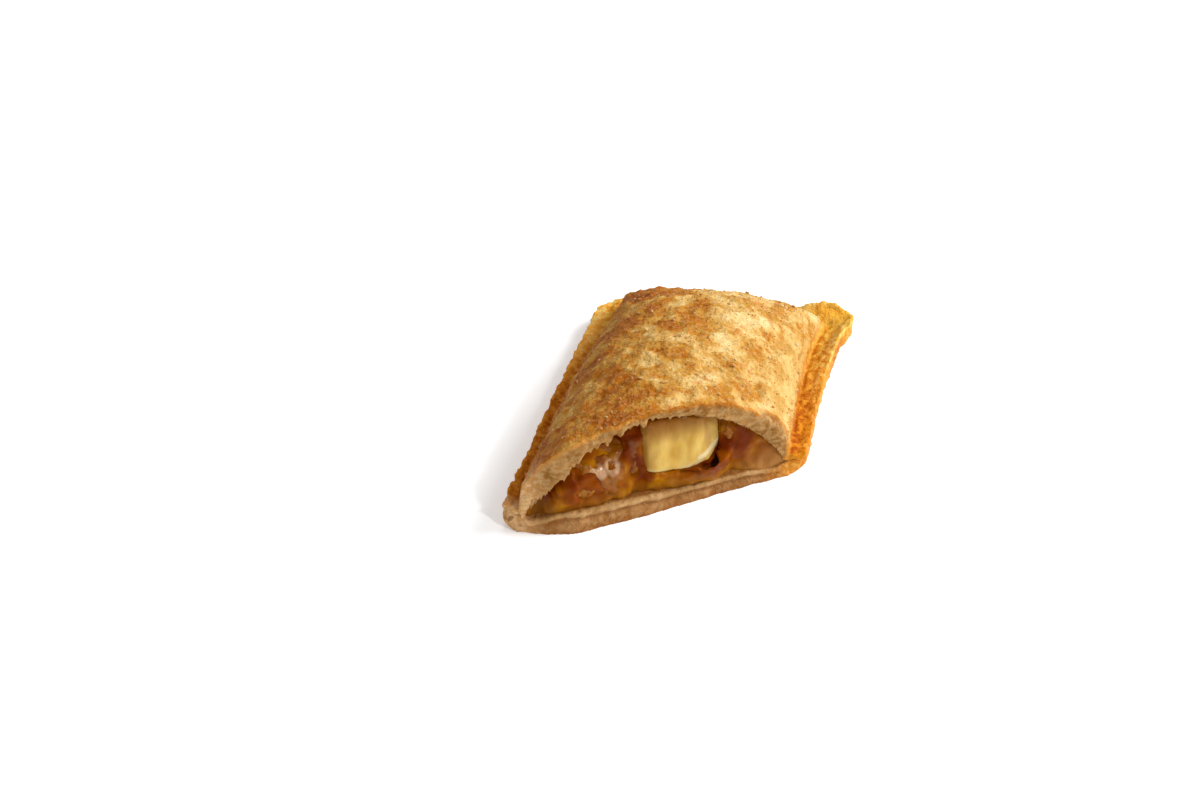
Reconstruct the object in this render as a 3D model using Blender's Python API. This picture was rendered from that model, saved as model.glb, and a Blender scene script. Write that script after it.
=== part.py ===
"""Half of a small baked apple pie, cut on the bias: two sheets of pastry pinched together at the rim,
a cooked apple filling between them, and the apple chunks that show at the cut.

The pie's width runs along X and its length along Y, with the closed end at +Y and the cut at -Y.
The model is built round the point where the cut meets the right-hand rim, and then set over the origin.
"""

import math

import bmesh
import bpy
from mathutils import Vector, noise

MM = 0.001

# The whole pie.
HALF_WIDTH = 27.0 * MM  # to the outer edge of the side rims
CLOSED_END = 51.0 * MM  # from the right end of the cut to the far rim's outer edge
END_SKEW = 4.5 * MM  # how much shorter the left side is, as the closed end isn't quite square
FRONT_STOCK = 46.0 * MM  # how far both sheets run past the origin before they are cut
CROWN = 24.9 * MM  # highest point of the top crust
END_SLOPE = 56.0 * MM  # length over which the crown comes down to the far rim
CORNER_SIZE = 8.0 * MM
CORNER_CUT = 0.37  # share of it that the two closed corners are cut back
WAIST = 1.3 * MM  # how far the right-hand rim is drawn in halfway along

# The pastry.
CROWN_CRUST = 2.4 * MM  # the top crust's thickness at the crown
INNER_INSET = 0.5 * MM  # from the foot of the dome to the edge of the hollow
HOLLOW_POWER = 0.75  # how full the hollow is towards the rims, where the pastry is thick
FLOOR_RIGHT = 2.9 * MM
FLOOR_LEFT = 4.3 * MM
FLOOR_TAPER = 9.0 * MM  # width over which the bottom crust thins out towards the rim
SEAM = 2.3 * MM  # height of the join between the two sheets at the rim
RIM_TOP = 1.5 * MM  # pastry above the join, at the rim's outer edge
FOOT_RISE = 1.5 * MM  # how much higher the rim is where the dome meets it
FIT_GAP = 0.3 * MM
FILLING_EDGE = 0.7 * MM  # extra thickness of the filling where it ends at the join

# The rim: narrow at the cut, wider towards the closed end, its edge curled up from the tray.
RIM_AT_CUT = 3.2 * MM
RIM_AT_END = 5.6 * MM
CURL_AT_CUT = 1.4 * MM
CURL_AT_END = 0.4 * MM
CURL_AT_CORNER = 3.8 * MM
CRIMP_PITCH = 3.0 * MM
CRIMP_DEPTH = 0.55 * MM

# The cut, measured as a distance along it from the right-hand rim.
BIAS = math.radians(37.5)
BEND_START = 49.0 * MM  # from here the cut turns back, because its sharp corner is blunted
BEND_LENGTH = 17.5 * MM
BEND_DEPTH = 9.5 * MM
CUT_RIGHT = Vector((HALF_WIDTH, 0.0, 0.0))
ALONG_CUT = Vector((-math.cos(BIAS), -math.sin(BIAS), 0.0))
INTO_PIE = Vector((-math.sin(BIAS), math.cos(BIAS), 0.0))
UP = Vector((0.0, 0.0, 1.0))

# The block that each layer is cut with: its reach along the cut, up and down, and out in front of it.
KNIFE_ENDS = (-6.0 * MM, 78.0 * MM)
KNIFE_HEIGHTS = (-4.0 * MM, 30.0 * MM)
KNIFE_REACH = 80.0 * MM

# Cells of the grids that the sheets start from.
RIM_CELLS = 3
DOME_CELLS = 20
STRAIGHT_CELLS = 20
END_CELLS = 20
FILLING_CELLS = (16, 30)

# Apple chunks at the cut, in millimetres: distance along the cut, height of the middle and how far the front
# face lies behind the cut; then size along the cut, depth and height; then turn and skew in degrees.
CHUNKS = {
    "apple_chunk_main": ((26.6, 14.0, 1.0), (17.2, 13.0, 13.4), -3.0, 9.0),
    "apple_chunk_left": ((44.3, 11.7, 1.2), (11.2, 11.0, 11.8), -1.0, 4.0),
    "apple_chunk_middle": ((36.8, 13.8, 2.4), (2.2, 11.0, 11.6), -3.0, 6.0),
}


def clear_scene():
    for old in list(bpy.data.objects):
        bpy.data.objects.remove(old, do_unlink=True)


def new_collection(name):
    made = bpy.data.collections.new(name)
    bpy.context.scene.collection.children.link(made)
    return made


def new_material(name, colour, roughness):
    made = bpy.data.materials.new(name)
    made.use_nodes = True
    shader = made.node_tree.nodes["Principled BSDF"]
    shader.inputs["Base Color"].default_value = (*colour, 1.0)
    shader.inputs["Roughness"].default_value = roughness
    shader.inputs["Metallic"].default_value = 0.0
    made.diffuse_color = (*colour, 1.0)
    return made


def ease(value):
    """A smooth step from 0 to 1."""
    t = min(1.0, max(0.0, value))
    return t * t * (3.0 - 2.0 * t)


def mix(a, b, share):
    return a + (b - a) * share


def rough(point, size, seed):
    """Smooth noise from about -1 to 1, whose lumps are about that size."""
    return noise.noise(point / size + Vector((seed, 2.7 * seed, -seed)))


# The plan of the pie.


def rim_width(y):
    return mix(RIM_AT_CUT, RIM_AT_END, ease((y + 0.2 * CLOSED_END) / CLOSED_END))


def across(t, y, inset, rims):
    """A column of the grid: its x, how far across the dome it is from -1 to 1, and its share of the rim."""
    rim_start = DOME_CELLS / (DOME_CELLS + 2 * RIM_CELLS) if rims else 1.0
    foot = HALF_WIDTH - rim_width(y)
    if abs(t) > rim_start:
        rim = (abs(t) - rim_start) / (1.0 - rim_start)
        return math.copysign(mix(foot - inset, HALF_WIDTH, rim), t), 1.0, rim
    place = math.sin(0.5 * math.pi * t / rim_start)
    return (foot - inset) * place, place, 0.0


def along(v, inset, rims):
    """A row of the grid: its y, how far down the closed end's slope it is, and its share of the rim."""
    cells = STRAIGHT_CELLS + END_CELLS + (RIM_CELLS if rims else 0)
    row = 0.5 * (v + 1.0) * cells
    foot = CLOSED_END - RIM_AT_END - inset
    shoulder = foot - END_SLOPE
    if row <= STRAIGHT_CELLS:
        return mix(-FRONT_STOCK, shoulder, row / STRAIGHT_CELLS), 0.0, 0.0
    if row <= STRAIGHT_CELLS + END_CELLS:
        place = math.sin(0.5 * math.pi * (row - STRAIGHT_CELLS) / END_CELLS)
        return mix(shoulder, foot, place), place, 0.0
    rim = (row - STRAIGHT_CELLS - END_CELLS) / RIM_CELLS
    return mix(foot, CLOSED_END, rim), 1.0, rim


def blunt_corner(x, y):
    """Moves a point of the square plan in the two closed corners onto the plan with blunt corners."""
    a = (abs(x) - (HALF_WIDTH - CORNER_SIZE)) / CORNER_SIZE
    b = (y - (CLOSED_END - CORNER_SIZE)) / CORNER_SIZE
    if a <= 0.0 or b <= 0.0:
        return x, y
    x_in = HALF_WIDTH - CORNER_SIZE + CORNER_SIZE * a * (1.0 - CORNER_CUT * b)
    y_in = CLOSED_END - CORNER_SIZE + CORNER_SIZE * b * (1.0 - CORNER_CUT * a)
    return math.copysign(x_in, x), y_in


def plan(t, v, inset=0.0, rims=True):
    """The x and y of a grid point, how far it is across the dome and down its end, and its share of the rim."""
    y, down_end, end_rim = along(v, inset, rims)
    x, over, side_rim = across(t, y, inset, rims)
    x, y = blunt_corner(x, y)
    return x, y, over, down_end, max(side_rim, end_rim)


def placed(x, y, z):
    """A point in the pie's own plan: drawn back on the left by the skewed end, and in on the right by the waist."""
    share = max(0.0, y / CLOSED_END) * (HALF_WIDTH - x) / (2.0 * HALF_WIDTH)
    drawn_in = WAIST * max(0.0, x / HALF_WIDTH) * math.sin(math.pi * min(1.0, max(0.0, y / CLOSED_END)))
    return Vector((x - drawn_in, y - END_SKEW * share, z))


# The heights, each at a point of the plan.


def joined(side, end):
    """Shares of the height from the side and from the end as one share, fuller at the corners than a product."""
    if min(side, end) < 1e-6:
        return 0.0
    return 1.0 / (1.0 / side + 1.0 / end - 1.0)


def dome(over, down_end):
    """The outside of the dome: a round arch across, and a long round fall to the closed end."""
    side = math.sqrt(max(0.0, 1.0 - over * over))
    end = math.sqrt(max(0.0, 1.0 - down_end**2.2))
    return joined(side, end)


def hollow(over, down_end):
    """The hollow under the dome, whose sides run out in a wedge to the join at the rim."""
    side = max(0.0, math.cos(0.5 * math.pi * over)) ** HOLLOW_POWER
    end = max(0.0, math.cos(0.5 * math.pi * down_end)) ** HOLLOW_POWER
    return joined(side, end)


def rim_share(x, y):
    past_side = (abs(x) - HALF_WIDTH) / rim_width(y) + 1.0
    past_end = (y - CLOSED_END) / RIM_AT_END + 1.0
    return min(1.0, max(0.0, past_side, past_end))


def curl(x, y):
    """How far the rim is lifted off the tray: most at its edge, and at the closed right-hand corner."""
    down = ease(y / CLOSED_END)
    corner = down * ease((x - 0.3 * HALF_WIDTH) / (0.7 * HALF_WIDTH))
    lift = mix(mix(CURL_AT_CUT, CURL_AT_END, down), CURL_AT_CORNER, corner)
    lift += 0.8 * MM * ease(-x / HALF_WIDTH) * (1.0 - down)
    wave = 0.4 * MM * rough(Vector((x, y, 0.0)), 9.0 * MM, 4.0)
    return rim_share(x, y) ** 1.5 * (lift + wave)


def foot_rise(x, y):
    """The rim slopes up to the foot of the dome, less so towards the closed end."""
    return FOOT_RISE * (1.0 - ease(rim_share(x, y) / 0.8)) * (1.0 - 0.6 * ease(y / CLOSED_END))


def crimp(x, y, rim):
    """Dimples of the tool that pinches the rim, in a row that follows it."""
    if rim <= 0.0:
        return 0.0
    on_end = y > CLOSED_END - 1.1 * RIM_AT_END and abs(x) < HALF_WIDTH - CORNER_SIZE
    place = (x if on_end else y) / CRIMP_PITCH
    row = math.sin(math.pi * min(1.0, rim * 1.2))
    return CRIMP_DEPTH * row * (0.5 + 0.5 * math.cos(2.0 * math.pi * place))


def outer_top(t, v):
    """The baked outside of the top crust."""
    x, y, over, down_end, rim = plan(t, v)
    foot = SEAM + RIM_TOP + foot_rise(x, y)
    rise = dome(over, down_end)
    z = foot + (CROWN - foot) * rise + curl(x, y) - crimp(x, y, rim)
    z -= 0.5 * MM * rim**3
    at = Vector((x, y, z))
    lumps = 0.55 * MM * rough(at, 11.0 * MM, 1.0) + 0.28 * MM * rough(at, 4.5 * MM, 2.0)
    z += lumps * mix(0.45, 1.0, ease(2.0 * rise))
    side = 0.45 * MM * rough(at, 5.0 * MM, 3.0) * rim
    return placed(x + math.copysign(side, x), y + side * ease(rim), z)


def under_dome(x, y, share, gap):
    """Height of the hollow's roof, or of what fills it with a gap."""
    foot = SEAM + 0.5 * FIT_GAP + foot_rise(x, y)
    uneven = 0.5 * MM * rough(Vector((x, y, 0.0)), 9.0 * MM, 5.0) * ease(3.0 * share)
    thick = CROWN_CRUST + 1.2 * MM * ease(-x / (0.3 * HALF_WIDTH))
    return foot + (CROWN - thick - foot) * share + uneven - gap


def inner_top(t, v):
    """The underside of the top crust, over the filling, and its half of the join at the rim."""
    x, y, over, down_end, _ = plan(t, v, inset=INNER_INSET)
    z = under_dome(x, y, hollow(over, down_end), 0.0)
    return placed(x, y, z + curl(x, y))


def floor_height(x, y):
    """The upper face of the bottom crust, under the filling, which thins out to the join at the rim."""
    middle = mix(FLOOR_LEFT, FLOOR_RIGHT, ease((x + HALF_WIDTH) / (2.0 * HALF_WIDTH)))
    edge = SEAM - 0.5 * FIT_GAP
    ripple = 0.25 * MM * rough(Vector((x, y, 0.0)), 7.0 * MM, 6.0)
    from_side = HALF_WIDTH - rim_width(y) - INNER_INSET - abs(x)
    from_end = CLOSED_END - RIM_AT_END - INNER_INSET - y
    return mix(edge, middle + ripple, ease(min(from_side, from_end) / FLOOR_TAPER))


def floor_top(t, v):
    x, y, _, _, _ = plan(t, v, inset=INNER_INSET)
    return placed(x, y, floor_height(x, y) + curl(x, y))


def floor_bottom(t, v):
    """The face that lies on the tray: flat, and lifted only under the rim."""
    x, y, _, _, rim = plan(t, v)
    ruffle = 0.3 * MM * rough(Vector((x, y, 0.0)), 4.0 * MM, 7.0) * (0.2 + rim)
    return placed(x + math.copysign(ruffle, x), y, curl(x, y))


def filling_top(t, v):
    """The filling meets the underside of the top crust with a fine gap."""
    x, y, over, down_end, _ = plan(t, v, inset=INNER_INSET + 2.0 * FIT_GAP, rims=False)
    share = hollow(over, down_end)
    edge = FILLING_EDGE * (1.0 - ease(4.0 * share))
    return placed(x, y, under_dome(x, y, share, FIT_GAP) + edge)


def filling_bottom(t, v):
    x, y, _, _, _ = plan(t, v, inset=INNER_INSET + 2.0 * FIT_GAP, rims=False)
    return placed(x, y, floor_height(x, y) + 1.4 * FIT_GAP)


# Making the solids.


def make_sound(shape):
    """Flat triangles for the Booleans. The points have moved, so the normals are worked out again before use."""
    bmesh.ops.triangulate(shape, faces=shape.faces[:])
    shape.normal_update()
    bmesh.ops.recalc_face_normals(shape, faces=shape.faces[:])
    if shape.calc_volume(signed=True) < 0.0:
        bmesh.ops.reverse_faces(shape, faces=shape.faces[:])


def closed_grid(name, cells, upper, lower):
    """A closed mesh from one grid: a copy of it is offset by Solidify, and each sheet is then set by a function."""
    shape = bmesh.new()
    bmesh.ops.create_grid(shape, x_segments=cells[0], y_segments=cells[1], size=1.0)
    bmesh.ops.solidify(shape, geom=shape.faces[:], thickness=0.1)
    heights = [point.co.z for point in shape.verts]
    middle = 0.5 * (min(heights) + max(heights))
    for point in shape.verts:
        make = upper if point.co.z > middle else lower
        point.co = make(point.co.x, point.co.y)
    make_sound(shape)
    mesh = bpy.data.meshes.new(name)
    shape.to_mesh(mesh)
    shape.free()
    return bpy.data.objects.new(name, mesh)


def finish_node(node, collection, material):
    collection.objects.link(node)
    node.data.materials.append(material)
    node.data.shade_smooth()
    node.data.set_sharp_from_angle(angle=math.radians(40.0))
    return node


def hide_cutter(cutter, collection):
    collection.objects.link(cutter)
    cutter.hide_render = True
    cutter.display_type = "WIRE"
    return cutter


def combine(node, cutter, operation):
    cut = node.modifiers.new(operation.lower() + "_" + cutter.name, "BOOLEAN")
    cut.operation = operation
    cut.solver = "EXACT"
    cut.object = cutter


def cut_point(distance, back, height):
    """A point given by its distance along the cut, how far it is behind it, and its height."""
    return CUT_RIGHT + ALONG_CUT * distance + INTO_PIE * back + UP * height


def bend(distance):
    share = max(0.0, (distance - BEND_START) / BEND_LENGTH)
    return BEND_DEPTH * share**1.6


def knife(name, recess, torn, seed, cells):
    """A block in front of the cut. Its back is the cut surface of one layer, torn a little as pastry tears."""

    def cut_face(t, v):
        distance = mix(*KNIFE_ENDS, 0.5 * (t + 1.0))
        height = mix(*KNIFE_HEIGHTS, 0.5 * (v + 1.0))
        at = Vector((distance, height, 0.0))
        tear = torn * (rough(at, 3.6 * MM, seed) + 0.6 * rough(at, 1.9 * MM, seed + 0.5))
        return cut_point(distance, bend(distance) + recess(distance, height) + tear, height)

    def front_face(t, v):
        flat = cut_face(t, v)
        return flat - INTO_PIE * (KNIFE_REACH + (flat - CUT_RIGHT).dot(INTO_PIE))

    return closed_grid(name, cells, cut_face, front_face)


def top_recess(distance, height):
    """The top crust is dragged forward a little at its lower lip on the left of the cut."""
    return 0.25 * MM * math.sin(distance / (9.0 * MM)) - 0.3 * MM * ease(distance / (60.0 * MM))


def floor_recess(distance, height):
    """The bottom crust stands a little further out, most near the table."""
    out = 0.9 * MM * ease((distance - 12.0 * MM) / (24.0 * MM))
    return -out + 0.22 * height


def filling_recess(distance, height):
    """The filling slumps: it is near the cut at the bottom, and well behind the crust's lip at the top."""
    slump = 2.9 * MM * ease((height - 6.0 * MM) / (15.0 * MM))
    belly = 0.7 * MM * math.sin(distance / (5.2 * MM) + 0.6)
    return 1.6 * MM + slump + belly


def chunk_shape(name, grow):
    """A diced piece of cooked apple: a cube with its corners softened, pulled out of square."""
    (distance, height, back), size, turn, skew = CHUNKS[name]
    seed = 10.0 + distance
    shape = bmesh.new()
    bmesh.ops.create_cube(shape, size=1.0)
    bmesh.ops.bevel(
        shape, geom=shape.edges[:], offset=0.16, segments=2, profile=0.6, affect="EDGES"
    )
    bmesh.ops.subdivide_edges(shape, edges=shape.edges[:], cuts=1, use_grid_fill=True)
    turned = math.radians(turn)
    skewed = math.tan(math.radians(skew))
    for point in shape.verts:
        swell = 1.0 + 0.06 * rough(point.co, 0.9, seed)
        s = point.co.x * (size[0] * MM + 2.0 * grow) * swell
        d = point.co.y * (size[1] * MM + 2.0 * grow)
        h = point.co.z * (size[2] * MM + 2.0 * grow) * swell + s * skewed
        dent = 0.35 * MM * rough(point.co, 0.35, seed + 3.0)
        s, d = (
            s * math.cos(turned) - d * math.sin(turned),
            s * math.sin(turned) + d * math.cos(turned),
        )
        middle = back * MM + 0.5 * size[1] * MM
        point.co = cut_point(distance * MM + s, middle + d + dent, height * MM + h)
    make_sound(shape)
    mesh = bpy.data.meshes.new(name)
    shape.to_mesh(mesh)
    shape.free()
    return mesh


def centre_on_base(parts):
    """Moves the parent of all parts so that the middle of the object's base is the origin."""
    graph = bpy.context.evaluated_depsgraph_get()
    corners = []
    for part in parts:
        shape = part.evaluated_get(graph).to_mesh()
        corners += [part.matrix_world @ point.co for point in shape.vertices]
    low = Vector([min(corner[i] for corner in corners) for i in range(3)])
    high = Vector([max(corner[i] for corner in corners) for i in range(3)])
    return Vector((-0.5 * (low.x + high.x), -0.5 * (low.y + high.y), -low.z))


def build():
    clear_scene()
    pie = new_collection("apple_pie")
    tools = new_collection("cutters")
    crust = new_material("baked_crust", (0.62, 0.36, 0.13), 0.75)
    base = new_material("pale_crust", (0.55, 0.33, 0.14), 0.7)
    gel = new_material("apple_filling", (0.30, 0.11, 0.02), 0.25)
    apple = new_material("cooked_apple", (0.72, 0.50, 0.16), 0.35)

    columns = DOME_CELLS + 2 * RIM_CELLS
    rows = STRAIGHT_CELLS + END_CELLS + RIM_CELLS
    top_crust = finish_node(
        closed_grid("top_crust", (columns, rows), outer_top, inner_top), pie, crust
    )
    bottom_crust = finish_node(
        closed_grid("bottom_crust", (columns, rows), floor_top, floor_bottom), pie, base
    )
    filling = finish_node(
        closed_grid("filling", FILLING_CELLS, filling_top, filling_bottom), pie, gel
    )

    knives = {
        top_crust: knife("knife_top", top_recess, 0.55 * MM, 21.0, (56, 22)),
        bottom_crust: knife("knife_floor", floor_recess, 0.35 * MM, 33.0, (52, 20)),
        filling: knife("knife_filling", filling_recess, 0.5 * MM, 41.0, (40, 18)),
    }
    for node, cutter in knives.items():
        combine(node, hide_cutter(cutter, tools), "DIFFERENCE")

    mould = closed_grid("filling_mould", FILLING_CELLS, filling_top, filling_bottom)
    hide_cutter(mould, tools)
    chunks = []
    for name in CHUNKS:
        chunk = bpy.data.objects.new(name, chunk_shape(name, 0.0))
        chunks.append(finish_node(chunk, pie, apple))
        combine(chunk, mould, "INTERSECT")
        pocket = bpy.data.objects.new("pocket_" + name, chunk_shape(name, FIT_GAP))
        combine(filling, hide_cutter(pocket, tools), "DIFFERENCE")

    parts = [top_crust, bottom_crust, filling, *chunks]
    bpy.context.view_layer.update()
    holder = bpy.data.objects.new("apple_pie_origin", None)
    pie.objects.link(holder)
    for part in [*parts, *tools.objects]:
        part.parent = holder
    holder.location = centre_on_base(parts)


build()
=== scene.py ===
# %% [markdown]
# # Half of a small apple pie
#
# This lesson dresses the solids of a baked apple pie that was cut on the bias. The solids give the true
# sizes: two sheets of pastry pinched together at the rim, an apple filling, and three apple chunks that
# show at the cut. Here each of them is copied, given a fine even mesh, shaped like baked dough or cooked
# fruit, and painted with procedural materials. All sizes are in metres, written as millimetres times MM.

import math
import random

import bpy
from mathutils import Matrix, Vector, noise
from mathutils.kdtree import KDTree


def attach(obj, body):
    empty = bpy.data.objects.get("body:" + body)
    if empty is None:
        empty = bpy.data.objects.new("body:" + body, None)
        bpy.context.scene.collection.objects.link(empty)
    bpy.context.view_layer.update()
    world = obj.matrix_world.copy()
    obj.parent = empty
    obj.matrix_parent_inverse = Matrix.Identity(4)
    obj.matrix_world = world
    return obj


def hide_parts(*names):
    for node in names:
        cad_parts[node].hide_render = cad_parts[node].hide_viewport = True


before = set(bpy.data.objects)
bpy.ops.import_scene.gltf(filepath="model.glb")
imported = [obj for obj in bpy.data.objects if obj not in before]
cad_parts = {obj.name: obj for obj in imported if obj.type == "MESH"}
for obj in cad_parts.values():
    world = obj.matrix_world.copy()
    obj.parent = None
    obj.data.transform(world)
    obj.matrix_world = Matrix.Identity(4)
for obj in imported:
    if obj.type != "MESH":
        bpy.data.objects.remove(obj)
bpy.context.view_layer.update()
print("solids:", sorted(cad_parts))

# %% [markdown]
# ## Where things are on a pie
#
# Dough and fruit are described by where they lie: along the cut, behind it, or on the rim. The solids
# were built round the point where the cut meets the right-hand rim, so the same few sizes are repeated
# here, and two helpers turn a point of the frame into those terms.

# %% The pie's own measures
MM = 0.001
BUILT_AT = Vector((0.157, -8.312, 0.0)) * MM  # where the frame has the point they were built round
HALF_WIDTH = 27.0 * MM
CLOSED_END = 51.0 * MM
END_SKEW = 4.5 * MM
WAIST = 1.3 * MM
RIM_AT_CUT = 3.2 * MM
RIM_AT_END = 5.6 * MM
BIAS = math.radians(37.5)
BEND_START = 49.0 * MM
BEND_LENGTH = 17.5 * MM
BEND_DEPTH = 9.5 * MM
ALONG_CUT = Vector((-math.cos(BIAS), -math.sin(BIAS), 0.0))
INTO_PIE = Vector((-math.sin(BIAS), math.cos(BIAS), 0.0))
CUT_RIGHT = BUILT_AT + Vector((HALF_WIDTH, 0.0, 0.0))


def ramp(value, start, end):
    """A smooth step from 0 at start to 1 at end."""
    share = min(1.0, max(0.0, (value - start) / (end - start)))
    return share * share * (3.0 - 2.0 * share)


def cut_place(point):
    """Distance along the cut from the right-hand rim, and depth behind the cut surface."""
    offset = point - CUT_RIGHT
    distance = offset.dot(ALONG_CUT)
    bend = BEND_DEPTH * max(0.0, (distance - BEND_START) / BEND_LENGTH) ** 1.6
    return distance, offset.dot(INTO_PIE) - bend


def rim_place(point):
    """0 at the foot of the dome, 1 at the rim's outer edge, and below 0 on the dome."""
    x, y = point.x - BUILT_AT.x, point.y - BUILT_AT.y
    down = min(1.0, max(0.0, y / CLOSED_END))
    x += WAIST * max(0.0, x / HALF_WIDTH) * math.sin(math.pi * down)
    y += END_SKEW * down * (HALF_WIDTH - x) / (2.0 * HALF_WIDTH)
    width = RIM_AT_CUT + (RIM_AT_END - RIM_AT_CUT) * ramp(y, -0.2 * CLOSED_END, 0.8 * CLOSED_END)
    return max((abs(x) - HALF_WIDTH) / width, (y - CLOSED_END) / RIM_AT_END) + 1.0


def lump(point, size, seed):
    """Smooth noise from about -1 to 1, whose lumps are about that size."""
    return noise.noise(point / size + Vector((seed, 1.7 * seed, -seed)))


def far_from_line(place, line):
    """Distance from a place to a line of points."""
    nearest = math.inf
    for start, end in zip(line, line[1:]):
        span = end - start
        along = min(1.0, max(0.0, (place - start).dot(span) / span.length_squared))
        nearest = min(nearest, (place - start - span * along).length)
    return nearest


print("cut runs", round(math.degrees(BIAS), 1), "degrees off the pie's width")

# %% [markdown]
# ## From a solid to dough
#
# A CAD solid has large flat triangles, which can't carry flaky detail. Voxel Remesh turns a copy of it
# into small even faces. Zones, such as the rim or the cut, are then marked twice: as a vertex group that
# limits a modifier, and as an attribute that a material can read.

# %% Fine copies and zones
MERGE = 1e-6


def select_only(piece):
    bpy.ops.object.select_all(action="DESELECT")
    bpy.context.view_layer.objects.active = piece
    piece.select_set(True)


def copy_of(node, name):
    """A merged copy of a CAD node's mesh, as a new piece."""
    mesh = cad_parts[node].data.copy()
    mesh.materials.clear()
    piece = bpy.data.objects.new(name, mesh)
    bpy.context.scene.collection.objects.link(piece)
    select_only(piece)
    bpy.ops.object.mode_set(mode="EDIT")
    bpy.ops.mesh.select_all(action="SELECT")
    bpy.ops.mesh.remove_doubles(threshold=MERGE)
    bpy.ops.object.mode_set(mode="OBJECT")
    return piece


def fatten(piece, by):
    """Moves all faces outwards, which closes the fine gaps that the solids leave between them."""
    select_only(piece)
    bpy.ops.object.mode_set(mode="EDIT")
    bpy.ops.mesh.select_all(action="SELECT")
    bpy.ops.transform.shrink_fatten(value=by)
    bpy.ops.object.mode_set(mode="OBJECT")


def remesh(piece, size):
    select_only(piece)
    even = piece.modifiers.new("even_mesh", "REMESH")
    even.mode = "VOXEL"
    even.voxel_size = size
    bpy.ops.object.modifier_apply(modifier=even.name)
    bpy.ops.object.shade_smooth()


def mark(piece, zone, rule):
    """Marks how far each point belongs to a zone. rule(place, normal) gives the share from 0 to 1."""
    shares = [min(1.0, max(0.0, rule(point.co, point.normal))) for point in piece.data.vertices]
    group = piece.vertex_groups.new(name=zone)
    for index, share in enumerate(shares):
        group.add([index], share, "REPLACE")
    piece.data.attributes.new(zone + "_share", "FLOAT", "POINT")
    piece.data.attributes[zone + "_share"].data.foreach_set("value", shares)


def roughen(piece, zone, size, height, kind="CLOUDS"):
    """Pushes the surface in and out in lumps of that size, within a zone."""
    pattern = bpy.data.textures.new(f"{zone}_{round(size / MM * 100)}", kind)
    pattern.noise_scale = size
    select_only(piece)
    push = piece.modifiers.new("roughen", "DISPLACE")
    push.texture = pattern
    push.texture_coords = "LOCAL"
    push.strength = height
    push.mid_level = 0.5
    push.vertex_group = zone
    bpy.ops.object.modifier_apply(modifier=push.name)


def faces_cut(place, normal):
    """The share of a point in the cut surface: near it, and facing the knife."""
    _, depth = cut_place(place)
    return ramp(-normal.dot(INTO_PIE), 0.3, 0.62) * (1.0 - ramp(depth, 1.6 * MM, 2.6 * MM))


def on_rim(place, normal):
    return ramp(rim_place(place), -0.12, 0.1)


def near_right_end(place, normal):
    """The right-hand end of the cut, where the thin crust browned to orange."""
    distance, _ = cut_place(place)
    return 1.0 - ramp(distance, 1.0 * MM, 13.0 * MM)


def right_end_of_rim(place, normal):
    return on_rim(place, normal) * near_right_end(place, normal)


def browned_rim(place, normal):
    """The crisp rim, but not the pale cut through it on the left."""
    return on_rim(place, normal) * max(near_right_end(place, normal), 1.0 - faces_cut(place, normal))


print("points closer than", round(MERGE / MM, 4), "mm are merged in each copy")

# %% [markdown]
# ## The top crust
#
# The dome of the pie is shortcrust that was sugared and baked. It is lumpy at the size of a fingertip,
# grainy at the size of sugar, and much rougher on the pinched rim, which fried brown against the tray.
# Displace modifiers, each kept to its own zone, build this up from large to small.

# %% Top crust, shaped
CRUST_GRAIN = 0.38 * MM  # fine enough for flakes, and still under 200,000 triangles
SEAM_CLOSER = 0.18 * MM


def on_dome(place, normal):
    inside = ramp(-normal.z, 0.05, 0.35)
    return (1.0 - on_rim(place, normal)) * (1.0 - inside) * (1.0 - faces_cut(place, normal))


def in_groove(place, normal):
    """The crease where the dome meets the rim."""
    return (1.0 - ramp(abs(rim_place(place) - 0.06), 0.04, 0.24)) * ramp(normal.z, -0.1, 0.2)


def on_lip(place, normal):
    """The raised outer edge of the rim."""
    return ramp(rim_place(place), 0.45, 0.8) * ramp(normal.z, -0.3, 0.1)


def on_wall(place, normal):
    """The steep pale side wall on the right, from the cut to the shoulder near the closed end."""
    y = place.y - BUILT_AT.y
    steep = ramp(normal.x, 0.62, 0.85) * (1.0 - ramp(rim_place(place), -0.1, 0.1))
    return steep * (1.0 - ramp(y, 24.0 * MM, 32.0 * MM)) * ramp(place.z, 3.0 * MM, 6.0 * MM)


def push_zone(piece, zone, along, by):
    """Moves a zone one way, each point by its share."""
    shares = piece.data.attributes[zone + "_share"].data
    for point in piece.data.vertices:
        point.co += along * by * shares[point.index].value


UPWARD = Vector((0.0, 0.0, 1.0))
OUT_OF_SHOULDER = Vector((0.6, 0.0, 0.8))
ALONG_SHOULDER = ((17.8, 0.5, 18.2), (17.6, 12.0, 16.6), (20.0, 26.6, 10.0))  # in millimetres
SHOULDER = [BUILT_AT + Vector(place) * MM for place in ALONG_SHOULDER]
CORNER = BUILT_AT + Vector((26.0, 49.0, 5.0)) * MM
CORNER_PULL = Vector((3.0, 1.5, 0.9)) * MM
CORNER_REACH = 11.0 * MM


def on_shoulder(place, normal):
    """The crisp edge between the dome and its steep right-hand wall."""
    return 1.0 - ramp(far_from_line(place, SHOULDER), 0.3 * MM, 2.8 * MM)


def at_corner(place, normal):
    return 1.0 - ramp((place - CORNER).length, 3.0 * MM, CORNER_REACH)


def at_tip(place, normal):
    """The pale dough where the two sheets meet at the left-hand end of the cut."""
    distance, depth = cut_place(place)
    return ramp(distance, 55.0 * MM, 60.0 * MM) * (1.0 - ramp(depth, 1.5 * MM, 5.0 * MM))


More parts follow.
